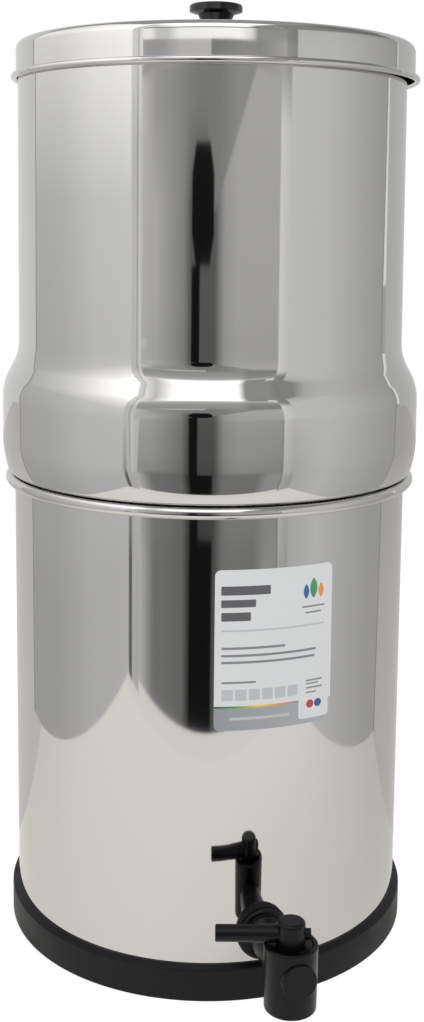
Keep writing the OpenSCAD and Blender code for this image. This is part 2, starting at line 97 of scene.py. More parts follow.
def newMaterial(name):
    made = bpy.data.materials.new(name)
    made.use_nodes = True
    made.node_tree.nodes.clear()
    return made


def add(tree, kind, inputs=None, **settings):
    # One node with its settings. An input is a value, another node's output, or another node,
    # which then gives its first output.
    made = tree.nodes.new("ShaderNode" + kind)
    for name, value in settings.items():
        setattr(made, name, value)
    for socket, value in (inputs or {}).items():
        if isinstance(value, bpy.types.Node):
            value = value.outputs[0]
        if isinstance(value, bpy.types.NodeSocket):
            tree.links.new(value, made.inputs[socket])
        else:
            made.inputs[socket].default_value = value
    return made


def setStops(rampNode, stops):
    # Stops are (place 0 to 1, colour)
    points = rampNode.color_ramp.elements
    while len(points) < len(stops):
        points.new(1)
    for point, (at, colour) in zip(points, stops):
        point.position = at
        point.color = colour


def place(obj, body=None, replaced=()):
    bpy.context.scene.collection.objects.link(obj)
    if body:
        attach(obj, body)
    if replaced:
        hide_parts(*replaced)
    return obj


# The polished steel shows what stands round it: a white light tent that is open at the front, a
# softbox over it and a dim room behind the camera. All of it is seen by reflections only.
tent = {
    "leftX": -0.375,
    "rightX": 0.366,
    "leftBackY": 0.132,
    "rightBackY": (0.075, 0.160),  # at the floor and at the top of the wall
    "frontY": -0.422,
    "top": 1.1,  # height of the tent
    "frontLeftX": -0.302,  # inner edges of the two narrow front strips
    "frontRightX": 0.296,
    "seamWidth": 3 * mm,
    "seamDepth": 6 * mm,
    "edgeTop": 0.25,  # height of the dark edge on the right front strip
    "screenY": -0.800,
    "screenTop": 0.564,  # in the middle; its top edge rises to the sides
    "screenRise": 0.075,
    "hazeY": -0.795,  # wedge and panel, just in front of the screen
    "standY": -0.790,
    "farY": -1.6,  # what shows over the screen
    "farHalf": 4.0,
    "farTop": 3.0,
    "backY": 1.6,
    "backHalf": 2.5,
    "backTop": 2.2,
    "topBox": (-0.8, 0.8, -1.0, 0.6),  # x, x, y, y
    "softbox": (-0.70, 0.33, -1.0, -0.30),
    "screenHalf": 2.4,
    "screenFoot": -1.0,
    "screenSteps": 24,  # corners along the screen's curved top
    # x, x, z, z of the lit strips that show over the screen
    "glare": (-1.5, 1.5, 0.55, 0.84),
    "bright": (-0.66, 0.50, 0.83, 1.09),
    # Corners, as x and z, of a dim wedge at the screen's top and of a lit panel in the room
    "wedge": [(-0.03, 0.564), (0.40, 0.564), (0.34, 0.54), (0.0, 0.38), (-0.03, 0.38)],
    "panel": [(-0.66, 0.0), (-0.60, 0.0), (-0.54, 0.25), (-0.625, 0.25)],
    # A plain stand in front of the tent: a block on a post over a base, as x, x, z, z
    "standBlocks": {"standHead": (-0.14, 0.02, 0.34, 0.46), "standPost": (-0.14, -0.08, 0.0, 0.34),
                    "standBase": (-0.14, 0.02, -0.6, 0.06)},
    "standCorners": {"standHead": 0.03},  # cut off each corner of a block
    # Heights between which one profile of a card blends into the next
    "roomBlends": ((0.0, 0.10), (0.40, 0.50), (0.538, 0.546)),
    "rightBlends": ((0.18, 0.28),),
    "leftBlends": ((0.10, 0.24),),
    "tableBlends": ((-0.05, 0.15),),  # x, on the table
}
# Light levels of the cards, as (place in metres, level): 1 is white
tentLevels = {
    "leftByY": [(-0.42, 0.90), (-0.20, 0.85), (-0.05, 0.70), (0.10, 0.65)],
    "leftByZ": [(0.10, 0.75), (0.40, 1.0), (0.60, 1.9), (1.1, 1.9)],
    "rightByY": [(-0.42, 0.80), (-0.20, 0.75), (0.0, 0.55), (0.15, 0.45)],
    "rightLowByY": [(-0.42, 0.60), (-0.25, 0.70), (0.0, 0.50), (0.15, 0.45)],
    "rightByZ": [(0.50, 1.0), (0.60, 0.80), (0.65, 0.45), (1.1, 0.45)],
    "frontLeftByX": [(-0.375, 0.75), (-0.335, 0.75), (-0.330, 0.45), (-0.320, 0.85), (-0.30, 0.85)],
    "frontLeftLowByX": [(-0.375, 0.40), (-0.365, 0.15), (-0.350, 0.15), (-0.345, 0.65), (-0.30, 0.60)],
    "frontLeftByZ": [(0.45, 1.0), (0.52, 1.3)],
    "frontRightByX": [(0.296, 0.95), (0.366, 0.80)],
    "frontRightByZ": [(0.10, 0.60), (0.30, 1.0), (0.46, 1.0), (0.53, 0.40)],
    "seam": [(0, 0.35), (1.1, 0.35)],
    "topByX": [(-0.7, 0.45), (0.8, 0.40)],
    "softboxByX": [(-0.70, 1.6), (-0.50, 0.80), (-0.30, 1.8), (0.27, 1.8), (0.33, 0.45)],
    "lowByX": [(-0.60, 0.65), (-0.45, 0.25), (-0.20, 0.20), (-0.15, 0.05), (0.03, 0.10), (0.10, 0.25),
               (0.35, 0.25), (0.45, 0.40)],
    "roomByX": [(-0.65, 0.95), (-0.60, 0.70), (-0.45, 0.65), (-0.20, 0.35), (-0.15, 0.15), (0.03, 0.15),
                (0.10, 0.50), (0.20, 0.60)],
    "roomByZ": [(0.0, 0.40), (0.15, 0.75), (0.30, 0.95), (0.6, 1.0)],
    "hazeByX": [(-0.65, 0.85), (-0.45, 0.50), (-0.10, 0.30), (0.05, 0.30), (0.10, 0.60)],
    "brimByX": [(-0.9, 0.85), (-0.55, 0.50), (-0.40, 0.50), (-0.25, 0.70), (0.20, 0.75), (0.32, 0.40),
                (0.63, 0.60)],
    "wedgeByX": [(-0.10, 0.30), (0.05, 0.30), (0.20, 0.40)],
    "glareByX": [(-1.10, 1.3), (-0.95, 0.85), (-0.75, 0.85), (-0.55, 1.35), (0.35, 1.5), (0.55, 1.1),
                 (0.65, 0.45)],
    "farByX": [(-1.0, 1.0), (0.5, 1.0), (0.65, 0.75)],
    "farByZ": [(0.85, 0.40), (1.15, 0.50), (1.30, 0.60), (1.70, 1.8)],
    "brightByX": [(-0.66, 1.2), (-0.50, 0.80), (-0.30, 1.8), (0.24, 1.8), (0.31, 0.40), (0.50, 0.40)],
    "panel": [(0.0, 0.65), (0.17, 0.75)],
    "edge": [(0.0, 0.20), (0.25, 0.30)],
    "stand": [(-0.6, 0.01), (0.6, 0.01)],
    "tableLeftByY": [(-0.45, 1.05), (-0.15, 1.0), (0.05, 0.85), (0.15, 0.85)],
    "tableRightByY": [(-0.45, 1.05), (-0.30, 1.0), (0.0, 0.70), (0.15, 0.60)],
    "back": [(-1.0, 0.80), (-0.3, 0.75), (0.3, 0.60), (1.0, 0.60)],
}
rampTop = 2.0  # a ramp's colours hold each level divided by this


def levelRamp(tree, value, stops):
    # A light level that changes with a coordinate; stops are (metres, level)
    low, high = stops[0][0], stops[-1][0]
    share = add(tree, "MapRange", {0: value, 1: low, 2: high})
    scaled = [((at - low) / (high - low), (level / rampTop,) * 3 + (1,)) for at, level in stops]
    shade = add(tree, "ValToRGB", {0: share})
    setStops(shade, scaled)
    grey = add(tree, "RGBToBW", {0: shade})
    return add(tree, "Math", {0: grey, 1: rampTop}, operation="MULTIPLY")


def coordinate(tree, axis):
    where = add(tree, "TexCoord").outputs["Object"]
    return add(tree, "SeparateXYZ", {0: where}).outputs[axis]


def product(tree, byAxis):
    # Level of a card as the product of a ramp along each axis, 0 to 2 for x to z
    level = 1.0
    for axis, stops in byAxis.items():
        factor = levelRamp(tree, coordinate(tree, axis), stops)
        level = add(tree, "Math", {0: factor, 1: level}, operation="MULTIPLY")
    return level


def glowMaterial(name, levelOf):
    made = newMaterial(name)
    tree = made.node_tree
    light = add(tree, "Emission", {"Color": (1, 1, 1, 1), "Strength": levelOf(tree)})
    add(tree, "OutputMaterial", {"Surface": light})
    made.cycles.emission_sampling = "NONE"
    return made


def addCard(name, corners, byAxis=None, levelOf=None):
    # A flat card that only mirrors can see
    bm = bmesh.new()
    bm.faces.new([bm.verts.new(c) for c in corners])
    mesh = bpy.data.meshes.new(name)
    bm.to_mesh(mesh)
    bm.free()
    card = bpy.data.objects.new(name, mesh)
    mesh.materials.append(glowMaterial(name, levelOf or (lambda tree: product(tree, byAxis))))
    card.visible_camera = False
    card.visible_diffuse = False
    card.visible_shadow = False
    place(card)
    return card


def upright(x0, y0, x1, y1, bottom, top):
    return [(x0, y0, bottom), (x1, y1, bottom), (x1, y1, top), (x0, y0, top)]


def flat(box, z):
    x0, x1, y0, y1 = box
    return [(x0, y0, z), (x1, y0, z), (x1, y1, z), (x0, y1, z)]


def blockCorners(x0, x1, z0, z1, y, cut):
    # An upright rectangle, with its corners cut off where cut is not zero
    if not cut:
        return upright(x0, y, x1, y, z0, z1)
    around = [(x0 + cut, z0), (x1 - cut, z0), (x1, z0 + cut), (x1, z1 - cut), (x1 - cut, z1), (x0 + cut, z1),
              (x0, z1 - cut), (x0, z0 + cut)]
    return [(x, y, z) for x, z in around]


def layered(tree, profiles, blends, axis=2):
    # Levels from several profiles, each blended into the next along one axis
    where = coordinate(tree, axis)
    level = product(tree, profiles[0])
    for profile, (low, high) in zip(profiles[1:], blends):
        share = add(tree, "MapRange", {0: where, 1: low, 2: high})
        level = add(tree, "Mix", {"Factor": share, 2: level, 3: product(tree, profile)},
                    data_type="FLOAT")
    return level


def roomLevel(tree):
    levels = tentLevels
    profiles = [{0: levels["lowByX"]}, {0: levels["roomByX"], 2: levels["roomByZ"]}, {0: levels["hazeByX"]},
                {0: levels["brimByX"]}]
    return layered(tree, profiles, tent["roomBlends"])


def rightLevel(tree):
    levels = tentLevels
    level = layered(tree, [{1: levels["rightLowByY"]}, {1: levels["rightByY"]}],
                    tent["rightBlends"])
    return add(tree, "Math", {0: level, 1: product(tree, {2: levels["rightByZ"]})}, operation="MULTIPLY")


def frontLeftLevel(tree):
    levels = tentLevels
    level = layered(tree, [{0: levels["frontLeftLowByX"]}, {0: levels["frontLeftByX"]}],
                    tent["leftBlends"])
    return add(tree, "Math", {0: level, 1: product(tree, {2: levels["frontLeftByZ"]})}, operation="MULTIPLY")


def addTent(t, levels):
    top, deep, wide = t["top"], t["seamDepth"], t["seamWidth"]
    left, right, front = t["leftX"], t["rightX"], t["frontY"]
    backLow, backHigh = t["rightBackY"]
    seam = {2: levels["seam"]}
    addCard("tentLeft", upright(left, front, left, t["leftBackY"], 0, top),
            {1: levels["leftByY"], 2: levels["leftByZ"]})
    addCard("tentRight", [(right, front, 0), (right, backLow, 0), (right, backHigh, top),
                          (right, front, top)], levelOf=rightLevel)
    addCard("seamLeft", upright(left, t["leftBackY"], left + wide, t["leftBackY"] + deep, 0, top), seam)
    addCard("seamRight", [(right, backLow, 0), (right - wide, backLow + deep, 0),
                          (right - wide, backHigh + deep, top), (right, backHigh, top)], seam)
    addCard("frontLeft", upright(left + wide, front, t["frontLeftX"], front, 0, top),
            levelOf=frontLeftLevel)
    addCard("frontRight", upright(t["frontRightX"], front, right, front, 0, top),
            {0: levels["frontRightByX"], 2: levels["frontRightByZ"]})
    addCard("tentTop", flat(t["topBox"], top), {0: levels["topByX"]})
    addCard("softbox", flat(t["softbox"], top - wide), {0: levels["softboxByX"]})
    half, foot, screen = t["screenHalf"], t["screenFoot"], t["screenY"]
    brim = [half - 2 * half * i / t["screenSteps"] for i in range(t["screenSteps"] + 1)]
    addCard("room", [(-half, screen, foot), (half, screen, foot)]
            + [(x, screen, t["screenTop"] + t["screenRise"] * x * x) for x in brim], levelOf=roomLevel)
    addCard("roomPanel", [(x, t["hazeY"], z) for x, z in t["panel"]], {2: levels["panel"]})
    edge = t["frontRightX"]
    addCard("frontRightEdge", upright(edge - 2 * wide, front, edge, front, 0, t["edgeTop"]),
            {2: levels["edge"]})
    addCard("roomWedge", [(x, t["hazeY"], z) for x, z in t["wedge"]], {0: levels["wedgeByX"]})
    farY, standY = t["farY"], t["standY"]
    x0, x1, z0, z1 = t["glare"]
    addCard("farGlare", upright(x0, farY, x1, farY, z0, z1), {0: levels["glareByX"]})
    addCard("farRoom", upright(-t["farHalf"], farY, t["farHalf"], farY, z1, t["farTop"]),
            {0: levels["farByX"], 2: levels["farByZ"]})
    x0, x1, z0, z1 = t["bright"]
    addCard("brightStrip", upright(x0, standY, x1, standY, z0, z1), {0: levels["brightByX"]})
    for name, block in t["standBlocks"].items():
        addCard(name, blockCorners(*block, standY, t["standCorners"].get(name, 0)), {2: levels["stand"]})
    addCard("tentBack", upright(-t["backHalf"], t["backY"], t["backHalf"], t["backY"], 0, t["backTop"]),
            {0: levels["back"]})


stage = {
    "floorHalf": 6.0,
    "tableEdgeY": -0.446,  # the table's front edge, which only mirrors see
    "tableLipWidth": 0.05,
    "lipShade": 0.07,  # how much darker its lip is: painted shade in the glow that mirrors see
    "tableGain": 1.14,
    "floorShadow": 0.38,  # share of the floor that takes a shadow
    "floorFill": 1.38,  # glow for the camera, which leaves the floor white
    "worldWhite": 1.0,
    "worldFill": 0.42,
}


def floorMaterial(s, t, levels):
    # Matte white laminate: it keeps the object's shadow, and mirrors see it end at its front edge
    made = newMaterial("whiteLaminate")
    tree = made.node_tree
    rays = add(tree, "LightPath")
    glossy, passing = rays.outputs["Is Glossy Ray"], rays.outputs["Is Transmission Ray"]
    mirrored = add(tree, "Math", {0: glossy, 1: passing}, operation="MAXIMUM")
    y = coordinate(tree, 1)
    past = add(tree, "Math", {0: y, 1: s["tableEdgeY"]}, operation="LESS_THAN")
    lip = add(tree, "Math", {0: y, 1: s["tableEdgeY"] + s["tableLipWidth"]}, operation="LESS_THAN")
    behind = add(tree, "Math", {0: y, 1: t["rightBackY"][0]}, operation="GREATER_THAN")
    sides = levelRamp(tree, coordinate(tree, 0), levels["back"])
    profiles = [{1: levels["tableLeftByY"]}, {1: levels["tableRightByY"]}]
    table = layered(tree, profiles, t["tableBlends"], axis=0)
    shade = add(tree, "Math", {0: lip, 1: s["lipShade"]}, operation="MULTIPLY")
    table = add(tree, "Math", {0: table, 1: shade}, operation="SUBTRACT")
    table = add(tree, "Math", {0: table, 1: s["tableGain"]}, operation="MULTIPLY")
    level = add(tree, "Mix", {"Factor": behind, 2: table, 3: sides}, data_type="FLOAT")
    cameraGlow = add(tree, "Emission", {"Color": (1, 1, 1, 1), "Strength": s["floorFill"]})
    # Mirrors see the table as a glow with painted light: brighter at its front, dimmer towards the back, and
    # darker at its lip
    mirrorGlow = add(tree, "Emission", {"Color": ink("#fefaf5"), "Strength": level})
    glow = add(tree, "MixShader", {0: mirrored, 1: cameraGlow, 2: mirrorGlow})
    paint = add(tree, "BsdfDiffuse", {"Color": ink("#f4f4f3")})
    surface = add(tree, "MixShader", {0: s["floorShadow"], 1: glow, 2: paint})
    clear = add(tree, "BsdfTransparent")
    hole = add(tree, "Math", {0: past, 1: mirrored}, operation="MULTIPLY")
    whole = add(tree, "MixShader", {0: hole, 1: surface, 2: clear})
    add(tree, "OutputMaterial", {"Surface": whole})
    made.cycles.emission_sampling = "NONE"
    return made


def addFloor(s):
    bm = bmesh.new()
    bmesh.ops.create_grid(bm, x_segments=2, y_segments=2, size=s["floorHalf"])
    mesh = bpy.data.meshes.new("floor")
    bm.to_mesh(mesh)
    bm.free()
    floor = place(bpy.data.objects.new("floor", mesh))
    mesh.materials.append(floorMaterial(s, tent, tentLevels))


def addWorld(s):
    # White for the camera and for mirrors, and a softer fill for everything else
    world = bpy.data.worlds.new("studio")
    world.use_nodes = True
    tree = world.node_tree
    tree.nodes.clear()
    rays = add(tree, "LightPath")
    direct, passing = rays.outputs["Is Camera Ray"], rays.outputs["Is Transmission Ray"]
    seen = add(tree, "Math", {0: direct, 1: passing}, operation="MAXIMUM")
    seen = add(tree, "Math", {0: seen, 1: rays.outputs["Is Glossy Ray"]}, operation="MAXIMUM")
    extra = s["worldWhite"] - s["worldFill"]
    level = add(tree, "Math", {0: seen, 1: extra, 2: s["worldFill"]}, operation="MULTIPLY_ADD")
    light = add(tree, "Background", {"Color": (1, 1, 1, 1), "Strength": level})
    add(tree, "OutputWorld", {"Surface": light})
    bpy.context.scene.world = world


lamps = {
    # name: place, aim, width, height, watts
    "lampTop": ((0, -0.35, 1.1), (0, 0, 0.2), 0.7, 0.6, 4.0),
    "lampLeft": ((-0.8, -0.6, 0.6), (0, 0, 0.25), 0.7, 0.9, 2.6),
    "lampRight": ((0.8, -0.5, 0.6), (0, 0, 0.25), 0.7, 0.9, 2.0),
}


def addLamp(name, where, target, width, height, watts):
    data = bpy.data.lights.new(name, "AREA")
    data.shape = "RECTANGLE"
    data.size = width
    data.size_y = height
    data.energy = watts
    lamp = bpy.data.objects.new(name, data)
    lamp.location = where
    lamp.rotation_mode = "QUATERNION"
    lamp.rotation_quaternion = (Vector(target) - Vector(where)).to_track_quat("-Z", "Y")
    lamp.visible_glossy = False
    bpy.context.scene.collection.objects.link(lamp)


addWorld(stage)
addFloor(stage)
addTent(tent, tentLevels)
for lampName, values in lamps.items():
    addLamp(lampName, *values)
print("stage is lit")


steps = 256  # facets round a full turn
toolSteps = 128  # the same on the tap and on what cuts holes
sharpTurn = math.radians(40)  # edges that turn more than this stay sharp
joinedTurn = math.radians(35)  # the same after solids are joined
arcTurn = math.radians(3)  # turn of one facet in a rounded corner
rowHeight = 9 * mm  # longest facet along a wall


def outlineMesh(corners, closed):
    # A wire of corners (radius, height, bend radius), with each corner bent to a true arc
    bm = bmesh.new()
    verts = [bm.verts.new((corner[0], 0, corner[1])) for corner in corners]
    for a, b in zip(verts, verts[1:]):
        bm.edges.new((a, b))
    if closed:
        bm.edges.new((verts[-1], verts[0]))
    for vert, corner in zip(verts, corners):
        if len(corner) < 3:
            continue
        into, out = [(e.other_vert(vert).co - vert.co).normalized() for e in vert.link_edges]
        turn = math.pi - into.angle(out)
        bmesh.ops.bevel(bm, geom=[vert], offset=corner[2] * math.tan(turn / 2), offset_type="OFFSET",
                        segments=max(2, math.ceil(turn / arcTurn)), profile=0.5,
                        affect="VERTICES", material=-1)
    for edge in list(bm.edges):
        rows = math.ceil(edge.calc_length() / rowHeight)
        if rows > 1:
            bmesh.ops.subdivide_edges(bm, edges=[edge], cuts=rows - 1)
    return bm


def spinOutline(corners, closed=False, outside=None, around=steps):
    bm = outlineMesh(corners, closed)
    bmesh.ops.spin(bm, geom=bm.verts[:] + bm.edges[:], cent=(0, 0, 0), axis=(0, 0, 1),
                   angle=2 * math.pi, steps=around, use_merge=True)
    bmesh.ops.remove_doubles(bm, verts=bm.verts, dist=0.002 * mm)
    bmesh.ops.recalc_face_normals(bm, faces=bm.faces)
    if outside:
        inner = min(bm.faces, key=lambda f: f.calc_center_median().xy.length)
        if inner.normal.dot(Vector(outside)) < 0:
            bmesh.ops.reverse_faces(bm, faces=bm.faces)
    return bm


def finishMesh(bm, name):
    mesh = bpy.data.meshes.new(name)
    for face in bm.faces:
        face.smooth = True
    for edge in bm.edges:
        edge.smooth = edge.calc_face_angle(0) < sharpTurn
    bm.to_mesh(mesh)
    bm.free()
    return bpy.data.objects.new(name, mesh)


def baked(obj, modifiers, sharp=sharpTurn):
    # Applies modifiers to the mesh, then marks its sharp edges
    bpy.context.scene.collection.objects.link(obj)
    for kind, settings in modifiers:
        made = obj.modifiers.new(kind, kind)
        for key, value in settings.items():
            setattr(made, key, value)
    graph = bpy.context.evaluated_depsgraph_get()
    mesh = bpy.data.meshes.new_from_object(obj.evaluated_get(graph))
    obj.modifiers.clear()
    obj.data = mesh
    bpy.context.scene.collection.objects.unlink(obj)
    mesh.set_sharp_from_angle(angle=sharp)
    return obj


def rolled(shell, thickness):
    # Gives a sheet its thickness, inwards from the outside
    return baked(shell, [("SOLIDIFY", {"thickness": thickness, "offset": -1, "use_even_offset": True})])


def asTool(tool):
    # A solid that another piece is joined with, or cut by
    bpy.context.scene.collection.objects.link(tool)
    tool.hide_render = True
    return tool


def turned(name, corners, frameTurn=None, hidden=True):
    # A closed turned solid, as a boolean's other half or as a piece
    made = finishMesh(spinOutline(corners, around=toolSteps), name)
    if frameTurn:
        made.data.transform(frameTurn)
    return asTool(made) if hidden else made


def joined(obj, tools):
    # Adds and cuts other solids one after another, then removes them
    baked(obj, [("BOOLEAN", {"object": tool, "operation": operation, "solver": "EXACT"})
                for tool, operation in tools], joinedTurn)
    for tool, operation in tools:
        bpy.data.objects.remove(tool)
    return obj


steelLook = {
    "colour": "#cdccca",
    "roughness": (0.035, 0.055),
    "patch": 30 * mm,  # size of the patches that differ in roughness
    "wave": 60 * mm,  # the sheet's waviness, drawn out along the height
    "waveStretch": 0.4,
    "waveDepth": 0.045 * mm,
    "line": 2.5 * mm,  # draw lines up the walls
    "lineStretch": 0.03,
    "lineDepth": 0.0008 * mm,
}


def polishedSteel(k):
    # 304 stainless steel, deep drawn and buffed to a mirror: clear reflections that waver a little,
    # with faint draw lines up the walls
    made = newMaterial("polishedStainless")
    tree = made.node_tree
    where = add(tree, "TexCoord").outputs["Object"]
    drawn = add(tree, "Mapping", {0: where, 3: (1, 1, k["lineStretch"])})
    lines = add(tree, "TexNoise", {"Vector": drawn, "Scale": 1 / k["line"], "Detail": 2})
    tall = add(tree, "Mapping", {0: where, 3: (1, 1, k["waveStretch"])})
    waves = add(tree, "TexNoise", {"Vector": tall, "Scale": 1 / k["wave"], "Detail": 1})
    cloud = add(tree, "TexNoise", {"Vector": where, "Scale": 1 / k["patch"], "Detail": 4})
    smooth, dull = k["roughness"]
    rough = add(tree, "MapRange", {0: cloud, 1: 0.35, 2: 0.65, 3: smooth, 4: dull})
    broad = add(tree, "Bump", {"Strength": 1.0, "Distance": k["waveDepth"], "Height": waves})
    fine = add(tree, "Bump", {"Strength": 1.0, "Distance": k["lineDepth"], "Height": lines,
                              "Normal": broad})
    metal = add(tree, "BsdfPrincipled", {"Base Color": ink(k["colour"]), "Metallic": 1.0,
                                         "Roughness": rough, "Normal": fine})
    add(tree, "OutputMaterial", {"Surface": metal})
    return made


steel = polishedSteel(steelLook)

vessel = {
    "wall": 1 * mm,
    "footBend": 8 * mm,
    "rimBend": 2 * mm,
    "footIn": 1.3 * mm,  # the wall narrows by this down to its foot
    "tapHole": 8.2 * mm,
}
tap = {
    "azimuth": math.radians(15.4),
    "height": 34 * mm,
    "reach": 44.5 * mm,  # from the wall to the spout's axis
    "shank": 8 * mm,
    "shankIn": 22 * mm,
    "shankEdge": 0.6 * mm,
    "waterway": 4 * mm,
    "washer": 2.5 * mm,
    "flange": 12.9 * mm,
    "flangeThick": 2.6 * mm,
    "flangeEdge": 1.2 * mm,
    "collar": 10.5 * mm,
    "collarLength": 7 * mm,
    "collarBend": 5.6 * mm,
    "barrel": 8.5 * mm,
    "fillet": 0.4 * mm,
    "foot": 20 * mm,
    "spoutHeight": 31.5 * mm,
    "spoutFoot": 12.4 * mm,
    "spoutTop": 12.9 * mm,
    "spoutEdge": 0.9 * mm,
    "outlet": 10 * mm,
    "outletDeep": 7 * mm,
    "plugHole": 8.55 * mm,
    "recess": 10.3 * mm,
    "recessDeep": 2.7 * mm,
    "lead": 0.5 * mm,  # chamfer of the openings
    "stopWidth": math.radians(44),
    "stopPlaces": (math.radians(135), math.radians(315)),
    "stopSteps": 20,
    "stopInner": 7.8 * mm,
    "stopTop": 0.5 * mm,  # below the spout's rim
    "pad": 8.4 * mm,
    "padRise": 19 * mm,
    "padOut": 0.8 * mm,
    "padEdge": 0.35 * mm,
    "sink": 0.3 * mm,  # how far joined shapes reach into each other
}


def wallTop():
    # Radius and height of the lower wall where its rim starts to curl
    high = boxOf("lower_chamber")[1]
    return high.x - 2 * vessel["rimBend"] - vessel["wall"], high.z - vessel["wall"]


def lowerRadius(z):
    low = boxOf("lower_chamber")[0]
    topR, topZ = wallTop()
    return topR - vessel["footIn"] * (topZ - z) / (topZ - low.z)


def tapFrame(height=None):
    # Turns a shape made along +Z so that it points out of the vessel at the tap's azimuth
    lift = Matrix.Translation((0, 0, tap["height"] if height is None else height))
    return lift @ Matrix.Rotation(tap["azimuth"], 4, "Z") @ Matrix.Rotation(math.pi / 2, 4, "X")


def addLowerChamber(v):
    low = boxOf("lower_chamber")[0]
    bend, wall = v["rimBend"], v["wall"]
    topR, topZ = wallTop()
    curlR = topR + 2 * bend
    outline = [(0, low.z),
               (topR - v["footIn"], low.z, v["footBend"]),
               (topR, topZ, bend),
               (curlR, topZ, bend),
               (curlR, topZ - 2 * bend, bend),
               (topR + bend / 2, topZ - 2 * bend)]
    shell = finishMesh(spinOutline(outline, outside=(0, 0, -1)), "lowerChamber")
    rolled(shell, wall)
    reach = lowerRadius(tap["height"])
    near, far = reach - v["footBend"], reach + v["footBend"]
    hole = [(0, near), (v["tapHole"], near), (v["tapHole"], far), (0, far)]
    joined(shell, [(turned("tapHole", hole, tapFrame()), "DIFFERENCE")])
    shell.data.materials.append(steel)
    return place(shell, "vessel", ["lower_chamber"])


upper = {
    "wall": 1 * mm,
    "spigotIn": 2.1 * mm,  # gap of the part that drops into the rim
    "wallIn": 2.4 * mm,  # inside the lower chamber's wall
    "tuckHeight": 10.3 * mm,
    "tuckLean": math.radians(17.6),
    "tuckBend": 48 * mm,
    "seatBend": 3 * mm,
    "shoulderHeight": 47.7 * mm,
    "shoulderLean": math.radians(28),
    "shoulderBend": 24 * mm,
    "spigotDepth": 17 * mm,
    "footBend": 8 * mm,
    "lipBend": 3.5 * mm,
    "lipWidth": 6.2 * mm,
    "stemHole": 6.3 * mm,
}


def addUpperChamber(u):
    low, high = boxOf("upper_chamber")[:2]
    seatZ = low.z + u["spigotDepth"]
    bulgeR = high.x
    lowerR = wallTop()[0]
    spigotR = lowerR - u["spigotIn"]
    wallR = lowerR - u["wallIn"]
    tuckR = bulgeR - u["tuckHeight"] * math.tan(u["tuckLean"])
    shoulderTop = u["shoulderHeight"] + (bulgeR - wallR) / math.tan(u["shoulderLean"])
    outline = [(0, low.z),
               (spigotR, low.z, u["footBend"]),
               (spigotR, seatZ, u["wall"]),
               (tuckR, seatZ, u["seatBend"]),
               (bulgeR, seatZ + u["tuckHeight"], u["tuckBend"]),
               (bulgeR, seatZ + u["shoulderHeight"], u["shoulderBend"]),
               (wallR, seatZ + shoulderTop, u["shoulderBend"]),
               (wallR, high.z, u["lipBend"]),
               (wallR - u["lipWidth"], high.z)]
    shell = finishMesh(spinOutline(outline, outside=(0, 0, -1)), "upperChamber")
    rolled(shell, u["wall"])
    below, above = low.z - u["wall"], low.z + 2 * u["wall"]
    hole = [(0, below), (u["stemHole"], below), (u["stemHole"], above), (0, above)]
    joined(shell, [(turned("stemHole", hole, Matrix.Translation((boxOf(name)[2].x, 0, 0))), "DIFFERENCE")
                   for name in ("candle_mount_left", "candle_mount_right")])
    shell.data.materials.append(steel)
    return place(shell, "upper", ["upper_chamber"])


cover = {
    "sheet": 0.7 * mm,
    "edgeBend": 4.5 * mm,
    "rise": 4 * mm,
    "crownBend": 700 * mm,
    "borderWidth": 14 * mm,
    "borderBend": 40 * mm,
    "beadBend": 1.0 * mm,
    "screwHole": 2.8 * mm,
}


def addLid(c):
    low, high, middle = boxOf("lid")
    bead, sheet = c["beadBend"], c["sheet"]
    curlR = high.x - middle.x - sheet
    lidR = curlR - 2 * bead
    topZ = high.z - c["rise"]
    beadZ = low.z + sheet
    outline = [(0, high.z),
               (lidR / 2, high.z, c["crownBend"]),
               (lidR - c["borderWidth"], topZ, c["borderBend"]),
               (lidR, topZ, c["edgeBend"]),
               (lidR, beadZ, bead),
               (curlR, beadZ, bead),
               (curlR, beadZ + 2 * bead, bead),
               (lidR + bead / 2, beadZ + 2 * bead)]
    shell = finishMesh(spinOutline(outline, outside=(0, 0, 1)), "lidShell")
    rolled(shell, sheet)
    above = high.z + c["rise"]
    hole = [(0, topZ), (c["screwHole"], topZ), (c["screwHole"], above), (0, above)]
    joined(shell, [(turned("screwHole", hole), "DIFFERENCE")])
    shell.data.transform(Matrix.Translation((middle.x, 0, 0)))
    shell.data.materials.append(steel)
    return place(shell, "cover", ["lid"])


addLowerChamber(vessel)
addUpperChamber(upper)
addLid(cover)
print("steel is rolled")


roughSpread = 0.15  # share by which the roughness of a moulding varies


def speckled(tree, colour, cell, spread):
    # A base colour that varies a little over patches of one size
    where = add(tree, "TexCoord").outputs["Object"]
    cloud = add(tree, "TexNoise", {"Vector": where, "Scale": 1 / cell, "Detail": 5})
    shade = add(tree, "MapRange", {0: cloud, 1: 0.3, 2: 0.7, 3: 1 - spread, 4: 1 + spread})
    tint = add(tree, "Mix", {"Factor": 1.0, 6: ink(colour), 7: shade},
               data_type="RGBA", blend_type="MULTIPLY")
    return where, cloud.outputs[0], tint.outputs[2]


def moulded(name, colour, roughness, grain, relief, cell, spread, specular):
    # Moulded plastic or rubber: even colour, a spark-eroded grain that breaks up the gloss
    made = newMaterial(name)
    tree = made.node_tree
    where, cloud, tint = speckled(tree, colour, cell, spread)
    fine = add(tree, "TexNoise", {"Vector": where, "Scale": 1 / grain, "Detail": 3})
    rough = add(tree, "MapRange", {0: cloud, 1: 0.3, 2: 0.7, 3: roughness * (1 - roughSpread),
                                   4: roughness * (1 + roughSpread)})
    bump = add(tree, "Bump", {"Strength": 1.0, "Distance": relief, "Height": fine})
    skin = add(tree, "BsdfPrincipled", {"Base Color": tint, "Roughness": rough, "IOR": 1.5,
                                        "Normal": bump, "Specular IOR Level": specular})
    add(tree, "OutputMaterial", {"Surface": skin})
    return made


screwLook = {"colour": "#b9b8b6", "roughness": (0.22, 0.34), "ring": 2.4 * mm, "ringDepth": 0.006 * mm}


